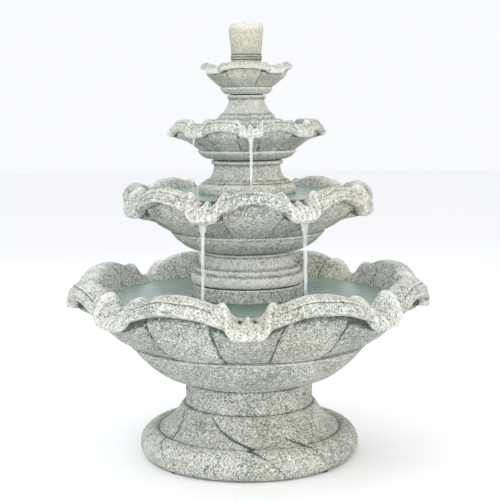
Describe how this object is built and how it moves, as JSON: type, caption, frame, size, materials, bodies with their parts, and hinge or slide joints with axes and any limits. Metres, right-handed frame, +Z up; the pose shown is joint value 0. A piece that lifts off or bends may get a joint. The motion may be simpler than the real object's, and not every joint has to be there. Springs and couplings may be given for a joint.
{
  "type": "tiered water fountain",
  "caption": "Cast-stone garden fountain: a scalloped basin on a turned pedestal, with smaller scalloped bowls stacked on columns above it and a finial that water wells from.",
  "frame": {"origin": "centre of the foot on the ground", "axes": "+Z up along the fountain's axis, with the front of the basin, where one of its spouts points, towards -Y"},
  "size_m": [1.03, 1.03, 1.226],
  "materials": {
    "cast_stone": "cast stone, pitted and washed with grey-green",
    "rubber": "moulded black rubber",
    "pipe": "dark PVC tube",
    "fitting": "moulded black nylon",
    "pump_plastic": "moulded black ABS",
    "impeller_plastic": "light grey acetal",
    "steel": "stainless steel rod",
    "brass": "turned brass, dulled by water"
  },
  "bodies": {
    "base": {"foot_pads": "rubber", "pedestal": "cast_stone", "basin_seal": "rubber", "basin": "cast_stone", "cord_stopper": "rubber", "housing_seal": "rubber", "pump_motor": "pump_plastic", "pump_chamber": "pump_plastic", "pump_intake": "pump_plastic", "impeller_shaft": "steel", "front_bush": "rubber", "back_bush": "rubber", "suction_cups": "rubber", "cord_gland": "rubber", "large_riser": "pipe"},
    "drain_plug": {"drain_plug": "rubber"},
    "impeller": {"impeller": "impeller_plastic"},
    "flow_dial": {"flow_dial": "pump_plastic"},
    "housing": {"pump_housing": "cast_stone", "lower_column_seal": "rubber"},
    "large_tier": {"lower_column": "cast_stone", "large_bowl_seal": "rubber", "large_bowl": "cast_stone", "large_fitting": "fitting", "large_washer": "rubber", "large_nut": "fitting", "medium_riser": "pipe", "middle_column_seal": "rubber"},
    "medium_tier": {"middle_column": "cast_stone", "medium_bowl_seal": "rubber", "medium_bowl": "cast_stone", "medium_fitting": "fitting", "medium_washer": "rubber", "medium_nut": "fitting", "small_riser": "pipe", "upper_column_seal": "rubber"},
    "small_tier": {"upper_column": "cast_stone", "small_bowl_seal": "rubber", "small_bowl": "cast_stone", "small_fitting": "fitting", "small_washer": "rubber", "small_nut": "fitting", "finial_riser": "pipe", "finial_seal": "rubber"},
    "finial": {"finial": "cast_stone", "jet": "brass"}
  },
  "joints": [
    {"name": "drain_plug_pull", "type": "slide", "parent": "base", "child": "drain_plug", "axis": [0, 0, 1], "range_m": [0, 0.08]},
    {"name": "impeller_spin", "type": "hinge", "parent": "base", "child": "impeller", "pos_m": [0, 0, 0.303], "axis": [0, 1, 0], "continuous": true},
    {"name": "flow_dial_turn", "type": "hinge", "parent": "base", "child": "flow_dial", "pos_m": [0, 0, 0.303], "axis": [0, 1, 0], "range_deg": [0, 60]},
    {"name": "housing_lift", "type": "slide", "parent": "base", "child": "housing", "axis": [0, 0, 1], "range_m": [0, 0.36]},
    {"name": "large_tier_lift", "type": "slide", "parent": "housing", "child": "large_tier", "axis": [0, 0, 1], "range_m": [0, 0.13]},
    {"name": "medium_tier_lift", "type": "slide", "parent": "large_tier", "child": "medium_tier", "axis": [0, 0, 1], "range_m": [0, 0.25]},
    {"name": "small_tier_lift", "type": "slide", "parent": "medium_tier", "child": "small_tier", "axis": [0, 0, 1], "range_m": [0, 0.18]},
    {"name": "finial_lift", "type": "slide", "parent": "small_tier", "child": "finial", "axis": [0, 0, 1], "range_m": [0, 0.16]}
  ]
}
